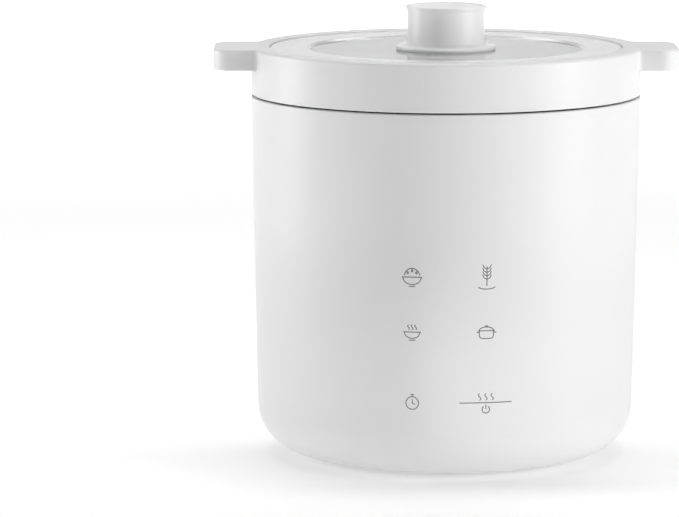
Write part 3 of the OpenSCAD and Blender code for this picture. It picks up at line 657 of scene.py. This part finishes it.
def make_knob():
    """The hollow knob round its screw boss, its dished cap, and the washers on both sides of the pane."""
    low, seat = knob_low.z / MM, knob_high.z / MM
    flange_r, lip_r = knob_high.x / MM, cap_high.x / MM
    lip, bore_r, boss_r = 0.9, 2, 5.2
    grip_r = lip_r - lip
    hollow_r, hollow_low, boss_top = grip_r - 2.4, low + 1.8, low + 15
    grip = lathe("knob_grip", [
        (bore_r, low, 0.2), (flange_r, low, 0.35), (flange_r, low + 1.6, 0.9), (grip_r, low + 2, 2.2),
        (grip_r, seat, 0.2), (hollow_r, seat, 0.2),
        (hollow_r, hollow_low, 0.8), (boss_r, hollow_low, 0.8), (boss_r, boss_top, 0.3),
        (bore_r, boss_top, 0.2),
    ], "lid", knob_white)
    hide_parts("knob")

    spigot, top = cap_low.z / MM, cap_high.z / MM
    spigot_r, spigot_in_r = grip_r - 2.5, grip_r - 4.6
    dish_r, dish = lip_r - 1.6, top - 0.8
    cap = lathe("knob_top", [
        (0, seat, 0), (spigot_in_r, seat, 0), (spigot_in_r, spigot, 0.3),
        (spigot_r, spigot, 0.3), (spigot_r, seat, 0), (lip_r, seat, 0.5),
        (lip_r, top, 0.7), (dish_r, top, 0.5), (dish_r - 0.6, dish, 0.8), (0, dish, 0),
    ], "lid", knob_white)
    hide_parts("knob_cap")

    pane_low, pane_top, washer_low = glass_low.z / MM, glass_high.z / MM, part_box("knob_washers")[0].z / MM
    screw_r, seal_r, washer_r = 2.2, flange_r - 0.25, 10
    seal = lathe("knob_seal", [
        (screw_r, pane_top, 0), (seal_r, pane_top, 0), (seal_r, low, 0), (screw_r, low, 0),
    ], "lid", silicone)
    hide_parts("knob_washers")
    washer = lathe("screw_washer", [
        (screw_r, washer_low, 0.2), (washer_r, washer_low, 0.2),
        (washer_r, pane_low, 0.1), (screw_r, pane_low, 0.1),
    ], "lid", silicone)
    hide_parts("knob_washers")


# ---------------------------------------------------------------- pot

LEVELS = (0.2, 0.34, 0.48, 0.62, 0.76)    # heights of the level lines, as shares of the pot's
LEVEL_HALVES = (9 * MM, 5 * MM)           # half lengths of the long and short level lines


def make_pot():
    """The pot with its flange, and the level lines inside it."""
    floor, top = pot_low.z / MM, pot_high.z / MM
    flange_r = pot_high.x / MM
    flange, wall_t, floor_t, corner = 9, 1.5, 2, 14
    inner = flange_r - flange
    pot = lathe("pot_bowl", [
        (0, floor, 0), (inner + wall_t, floor, corner), (inner + wall_t, top - wall_t, 0.8),
        (flange_r, top - wall_t, 0.5), (flange_r, top, 0.5), (inner, top, 1.4),
        (inner, floor + floor_t, corner - wall_t), (0, floor + floor_t, 0),
    ], "pot", pot_coat)
    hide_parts("inner_pot")
    wall = inner * MM
    for k, share in enumerate(LEVELS):
        z = (floor + floor_t + share * (top - floor)) * MM
        level_line(f"level_mark_{k}", wall, z, LEVEL_HALVES[k % 2] / wall)


def level_line(name, wall, z, half_angle):
    """A short raised level line on the inside of the pot, at its back."""
    half_h, raise_by = 0.35 * MM, 0.12 * MM
    steps, sides = 16, 4
    verts = []
    for k in range(steps + 1):
        a = math.pi / 2 + half_angle * (2 * k / steps - 1)
        for r, dz in ((wall + raise_by, -half_h), (wall - raise_by, -half_h),
                      (wall - raise_by, half_h), (wall + raise_by, half_h)):
            verts.append((r * math.cos(a), r * math.sin(a), z + dz))
    faces = loop_faces(steps + 1, sides, closed=False)
    faces += [tuple(range(sides)), tuple(sides * steps + i for i in range(sides))]
    new_piece(name, verts, faces, "pot", mark_ink)


# ---------------------------------------------------------------- sensor spring

def make_sensor_spring():
    """The spring under the sensor cap, with close end turns."""
    low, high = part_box("sensor_spring")
    wire, sides, turns, turn_steps = 0.6 * MM, 10, 7, 36
    closing = 0.9    # how far the end turns are closed, from 0 to 1
    coil_r = high.x - wire
    count = turns * turn_steps
    verts = []
    for k in range(count + 1):
        share = k / count
        a = 2 * math.pi * turns * share
        climb = share - math.sin(2 * math.pi * share) / (2 * math.pi) * closing
        z = low.z + wire + (high.z - low.z - 2 * wire) * climb
        for i in range(sides):
            b = 2 * math.pi * i / sides
            r = coil_r + wire * math.cos(b)
            verts.append((r * math.cos(a), r * math.sin(a), z + wire * math.sin(b)))
    faces = loop_faces(count + 1, sides, closed=False)
    faces += [tuple(range(sides)), tuple(count * sides + i for i in range(sides))]
    spring = new_piece("sensor_coil", verts, faces, "base", spring_wire)
    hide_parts("sensor_spring")
    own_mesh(spring)


# ---------------------------------------------------------------- key marks

KEY_ANGLE = 10.9       # degrees from the front to each column of keys
KEY_ROWS = {"low": 41, "mid": 76.5, "high": 105}    # heights in millimetres
LINE = 0.5             # width of a printed line in millimetres
INK_LOW, INK_HIGH = -0.06, 0.03                     # how far ink reaches below and above the shell
LONGEST = 0.8          # a line's stretches are no longer than this, so that it follows the shell

# Every mark is a list of lines, each a list of (x, y) points in millimetres from the key's middle.


def steam_line(cx, low, height, swing):
    """One wavy line of steam."""
    steps = 16
    return [
        (cx + swing * math.sin(2 * math.pi * k / steps), low + height * k / steps)
        for k in range(steps + 1)
    ]


def bowl_lines(cy, r=4.6):
    """A bowl on a short foot, with its rim at cy."""
    depth = r * 0.82
    foot = cy - depth - 0.9
    return [
        [(-r - 0.5, cy), (r + 0.5, cy)],
        arc(0, cy, r, depth, 180, 360),
        [(-1.6, foot), (1.6, foot)],
    ]


def white_rice_mark():
    """A heaped bowl of rice."""
    grains = [(-2.2, 1.6), (0, 2.6), (2.2, 1.6)]
    lines = bowl_lines(-0.6) + [arc(0, -0.6, 4.0, 4.4, 12, 168)]
    return lines + [arc(x, y, 0.35, 0.6, 0, 360, 10) for x, y in grains]


def brown_rice_mark():
    """An ear of grain."""
    lines = [[(0, -5.0), (0, 4.8)]]
    for k in range(4):
        y = -1.6 + 1.7 * k
        for side in (-1, 1):
            lines.append([(side * 0.2, y), (side * 1.5, y + 0.7), (side * 2.2, y + 2.2)])
    lines.append(arc(0, -5.0, 4.6, 1.6, 200, 340))
    return lines


def porridge_mark():
    """A bowl with steam."""
    lines = bowl_lines(0.2, 3.9)
    return lines + [steam_line(x, 1.3, 2.6, 0.45) for x in (-1.8, 0, 1.8)]


def soup_mark():
    """A lidded pot."""
    left = [(-3.6, 0.9), (-3.6, -1.6), (-3.2, -2.6), (-2.2, -3.0)]
    pot = left + [(-x, y) for x, y in reversed(left)]
    handles = [[(side * 3.6, 0.1), (side * 5.0, 0.1)] for side in (-1, 1)]
    lid = [[(-4.3, 0.9), (4.3, 0.9)], arc(0, 0.9, 3.7, 1.9, 0, 180)]
    return [pot, *handles, *lid, [(-0.8, 3.3), (0.8, 3.3)]]


def timer_mark():
    """A clock with a winder."""
    return [
        arc(0, -0.2, 3.2),
        [(0, -0.2), (0, 1.8)],
        [(0, -0.2), (1.4, -0.9)],
        [(0, 3.0), (0, 4.0)],
        [(-0.9, 4.1), (0.9, 4.1)],
    ]


def warm_and_stop_mark():
    """Steam over a power sign, with a dividing line between them."""
    steam = [steam_line(x, 1.2, 3.4, 0.6) for x in (-3.2, 0, 3.2)]
    stop = [arc(0, -3.4, 1.9, None, 125, 415), [(0, -0.9), (0, -3.3)]]
    return [*steam, [(-13.4, 0), (13.4, 0)], *stop]


def split_line(points):
    """A line with its long stretches split, so that it can follow a curved wall."""
    fine = [Vector(points[0])]
    for a, b in zip(points, points[1:]):
        a, b = Vector(a), Vector(b)
        count = max(1, math.ceil((b - a).length / LONGEST))
        fine += [a + (b - a) * k / count for k in range(1, count + 1)]
    return fine


def add_line(verts, faces, points, place):
    """One printed line as a thin closed ribbon; place maps (x, y, height) on to the shell."""
    points = split_line(points)
    closed = (points[0] - points[-1]).length < WELD
    start, count = len(verts), len(points)
    for i, p in enumerate(points):
        before = points[i - 1] if i else (points[-2] if closed else p)
        after = points[i + 1] if i < count - 1 else (points[1] if closed else p)
        along = (after - before).normalized()
        side = Vector((-along.y, along.x)) * LINE / 2
        for q, h in ((p - side, INK_LOW), (p + side, INK_LOW), (p + side, INK_HIGH), (p - side, INK_HIGH)):
            verts.append(place(q.x, q.y, h))
    faces += [tuple(start + i for i in face) for face in loop_faces(count, 4, closed=False)]
    if not closed:
        faces.append(tuple(start + k for k in (3, 2, 1, 0)))
        faces.append(tuple(start + 4 * (count - 1) + k for k in range(4)))


def key_mark(name, side, row, lines):
    """A printed mark lying on the shell at a key; side is -1 for the left column and 1 for the right."""
    z0 = KEY_ROWS[row] * MM
    turn = side * math.radians(KEY_ANGLE)

    def place(x, y, height):
        z = z0 + y * MM
        r = wall_r(z) + height * MM
        a = turn + x * MM / r
        return (r * math.sin(a), -r * math.cos(a), z)

    verts, faces = [], []
    for line in lines:
        add_line(verts, faces, line, place)
    new_piece(name, verts, faces, "base", ink)


def make_key_marks():
    """Six generic marks, in two columns and three rows."""
    key_mark("mark_white_rice", -1, "high", white_rice_mark())
    key_mark("mark_brown_rice", 1, "high", brown_rice_mark())
    key_mark("mark_porridge", -1, "mid", porridge_mark())
    key_mark("mark_soup", 1, "mid", soup_mark())
    key_mark("mark_timer", -1, "low", timer_mark())
    key_mark("mark_warm_stop", 1, "low", warm_and_stop_mark())


# ---------------------------------------------------------------- frame nodes that stay

def slot_materials():
    """A node material for every slot of the record: the pieces' own, and new ones for the rest."""
    made = {
        "shell_white": shell_white, "collar_white": collar_white, "lid_white": lid_white,
        "knob_white": knob_white, "trim_white": trim_white, "silicone": silicone,
    }
    for entry in frame["record"]["materials"]:
        slot, kind = entry["slot"], entry["class"]
        if slot in made:
            continue
        rgb = tuple(entry["base_color"][:3])
        name = "slot_" + slot
        if slot in ("cast_aluminium", "sensor_metal"):
            made[slot] = turned(name, rgb, 0.34)
        elif slot == "liner_metal":
            made[slot] = metal(name, rgb, 0.3, (1, 1, 14), 0.5)
        elif kind in ("aluminium", "brushed_steel", "chrome", "brass"):
            made[slot] = metal(name, rgb, 0.3)
        elif kind == "rubber":
            made[slot] = rubbery(name, rgb, 0.55)
        elif kind == "glass":
            made[slot] = clear_glass(name, rgb)
        else:
            made[slot] = moulded(name, rgb, 0.5 if kind == "matte_plastic" else 0.3)
    return made


def dress_nodes():
    """Gives the frame's own nodes their materials, and softens the edges of those that can be seen."""
    made = slot_materials()
    slots = {s["node"]: s["material_slot"] for s in frame["record"]["subparts"]}
    for node, obj in frame["nodes"].items():
        obj.data.materials.clear()
        obj.data.materials.append(made[slots[node]])
    soft_edges = {
        "top_trim_ring": 0.5, "inner_liner": 0.25, "base_plate": 0.4, "rubber_feet": 0.4,
        "power_inlet": 0.5, "inlet_pins": 0.25, "inlet_screws": 0.2, "ear_covers": 0.3,
        "clamp_ring": 0.4, "heater_plate": 0.5, "sensor_cap": 0.4, "vent_grommet": 0.3,
        "base_screws": 0.15, "clamp_screws": 0.15, "knob_screw": 0.2,
        "lid_gasket": 0.2, "sensor_housing": 0.3,
    }
    for node, width in soft_edges.items():
        obj = frame["nodes"][node]
        bevel = obj.modifiers.new("edges", "BEVEL")
        bevel.width = width * MM
        bevel.segments = 3
        bevel.limit_method = "ANGLE"
        bevel.angle_limit = math.radians(40)
        bevel.harden_normals = False
        mark_sharp(obj, SHARP_AGAIN)
        weigh_normals(obj, keep_sharp=False)


make_shell()
make_collar()
make_lid()
make_knob()
make_pot()
make_sensor_spring()
make_key_marks()
dress_nodes()

# ---------------------------------------------------------------- studio

# Lengths here are in metres.
GLOW_START, GLOW_FULL = 0.9, 2.2     # how far from the cooker the floor's glow starts and stops rising
NEAR_GLOW, FAR_GLOW = 0.26, 1.05     # the floor's glow, which lifts it to white past the lamps' reach
FLOOR_HALF = 14.0
WALL_GLOW = 0.3
WALL_Y, WALL_BEND, WALL_HALF = 4.6, 0.8, 1.0
STRIP, FILL = (0.55, 0.76), (0.8, 0.8)    # widths and heights of the tall side lamps and the front ones
STRIP_PLACE = (1.6, 0.4, 0.4)        # distance, height, and height of the aim
FILL_PLACE = (1.9, 0.6, 0.1)
SPOT_DISTANCE, SPOT_RISE, SPOT_RADIUS, SPOT_ANGLE = 1.6, 0.1, 0.12, 3


def around(angle, distance, height):
    """A place round the cooker, at an angle in degrees from the front towards +X."""
    turn = math.radians(angle)
    return Vector((distance * math.sin(turn), -distance * math.cos(turn), height))


def add_light(data, place, target, power):
    """Puts a light in the scene, aimed at a target and hidden from the camera."""
    data.energy = power
    obj = bpy.data.objects.new(data.name, data)
    obj.location = place
    obj.rotation_euler = (Vector(target) - Vector(place)).to_track_quat("-Z", "Y").to_euler()
    obj.visible_camera = False
    bpy.context.scene.collection.objects.link(obj)


def lamp(name, place, target, size, power, spread=180):
    """An area light aimed at a target. Its size is (width, height), its spread in degrees."""
    data = bpy.data.lights.new(name, "AREA")
    data.shape = "RECTANGLE"
    data.spread = math.radians(spread)
    data.size, data.size_y = size
    add_light(data, place, target, power)


def around_lamp(name, angle, place, size, power):
    """A lamp standing round the cooker, with its place as (distance, height, height of the aim)."""
    distance, height, aim = place
    lamp(name, around(angle, distance, height), (0, 0, aim), size, power)


def knob_lamp(name, angle, power):
    """A narrow soft spot aimed at the knob from just above its level."""
    aim = Vector((0, 0, (knob_low.z + cap_high.z) / 2))
    data = bpy.data.lights.new(name, "SPOT")
    data.spot_size = math.radians(SPOT_ANGLE)
    data.spot_blend = 1
    data.shadow_soft_size = SPOT_RADIUS
    add_light(data, around(angle, SPOT_DISTANCE, aim.z + SPOT_RISE), aim, power)


def make_lamps():
    """Two strips, two fills, lights for the floor and the lid, and spots for the knob."""
    around_lamp("left_strip", -100, STRIP_PLACE, STRIP, 10.4)
    around_lamp("right_strip", 72, STRIP_PLACE, STRIP, 9.6)
    around_lamp("front_fill", 0, FILL_PLACE, FILL, 0.3)
    around_lamp("front_right_fill", 36, FILL_PLACE, FILL, 5.2)
    lamp("low_front", (0, -0.36, 0.012), (0, 0, 0.03), (0.9, 0.02), 0.075, spread=60)
    lamp("top_strip", (0, 0.1, 1.6), (0, 0.1, 0), (1.2, 0.3), 11)
    lamp("backdrop_wash", (0, 2.0, 2.0), (0, 1.5, 0), (3.0, 1.0), 31)
    lamp("front_wash", (0.3, -1.2, 1.7), (0.3, -0.9, 0), (2.0, 0.8), 3)
    knob_lamp("knob_left", -60, 140)
    knob_lamp("knob_right", 54, 114)
    knob_lamp("knob_front", 0, 18)


def paper(name):
    """Matte white paper, and its node tree, shader and coordinates."""
    mat, tree, shader, coords = material(name)
    fibre = noise(tree, coords, 1.5, 3)
    tree.links.new(tint(tree, fibre, (0.9, 0.9, 0.9), (0.92, 0.92, 0.92)), shader.inputs["Base Color"])
    tree.links.new(remap(tree, fibre, 0.75, 0.85), shader.inputs["Roughness"])
    relief(tree, shader, [(fibre, 0.01, 0.2)])
    shader.inputs["Emission Color"].default_value = (1, 1, 1, 1)
    return mat, tree, shader, coords


def stage_sheet(name, section, half, mat):
    """A smooth sheet from (y, z) points of its section, reaching as far as half to each side."""
    bm = bmesh.new()
    rows = [[bm.verts.new((x, y, z)) for x in (-half, half)] for y, z in section]
    for low, high in zip(rows, rows[1:]):
        bm.faces.new((low[0], low[1], high[1], high[0]))
    sheet = add_object(name, bm)
    sheet.data.polygons.foreach_set("use_smooth", [True] * len(sheet.data.polygons))
    sheet.data.materials.append(mat)


def make_floor():
    """A wide pale table top, which glows more where the lamps no longer reach it."""
    mat, tree, shader, coords = paper("floor_paper")
    reach = tree.nodes.new("ShaderNodeVectorMath")
    reach.operation = "LENGTH"
    tree.links.new(coords, reach.inputs[0])
    glow = tree.nodes.new("ShaderNodeMapRange")
    glow.interpolation_type = "SMOOTHSTEP"
    tree.links.new(reach.outputs["Value"], glow.inputs["Value"])
    glow.inputs["From Min"].default_value = GLOW_START
    glow.inputs["From Max"].default_value = GLOW_FULL
    glow.inputs["To Min"].default_value = NEAR_GLOW
    glow.inputs["To Max"].default_value = FAR_GLOW
    tree.links.new(glow.outputs["Result"], shader.inputs["Emission Strength"])
    stage_sheet("floor", [(-FLOOR_HALF, 0), (FLOOR_HALF, 0)], FLOOR_HALF, mat)


def make_wall():
    """A narrow far wall that curves up from the floor, and is what the lid's glass mirrors."""
    mat, _, shader, _ = paper("wall_paper")
    shader.inputs["Emission Strength"].default_value = WALL_GLOW
    step = 9    # degrees
    section = [
        (WALL_Y - WALL_BEND * (1 - math.sin(math.radians(a))), WALL_BEND * (1 - math.cos(math.radians(a))))
        for a in range(step, 91, step)
    ]
    stage_sheet("wall", section + [(WALL_Y, 2 * WALL_BEND)], WALL_HALF, mat)


def make_world():
    """White beyond the floor's edge, seen by the camera only, so that the lamps alone light the cooker."""
    world = bpy.data.worlds.new("studio")
    world.use_nodes = True
    world.node_tree.nodes["Background"].inputs["Color"].default_value = (1, 1, 1, 1)
    bpy.context.scene.world = world
    for rays in ("diffuse", "glossy", "transmission", "scatter"):
        setattr(world.cycles_visibility, rays, False)


def make_camera():
    """Long lens, a little above the lid, with the cooker right of the middle of the frame."""
    distance, pitch = 2.4, math.radians(8.1)
    aim = Vector((-54.6 * MM, 0, 100 * MM))
    away = Vector((0, -math.cos(pitch), math.sin(pitch)))
    data = bpy.data.cameras.new("camera")
    data.sensor_width = 36
    data.lens = 246.1
    data.clip_start, data.clip_end = 0.1, 20
    camera = bpy.data.objects.new("camera", data)
    camera.location = aim + away * distance
    camera.rotation_euler = (-away).to_track_quat("-Z", "Y").to_euler()
    bpy.context.scene.collection.objects.link(camera)
    bpy.context.scene.camera = camera


make_floor()
make_wall()
make_world()
make_lamps()
make_camera()
bpy.context.scene.view_settings.view_transform = "Standard"
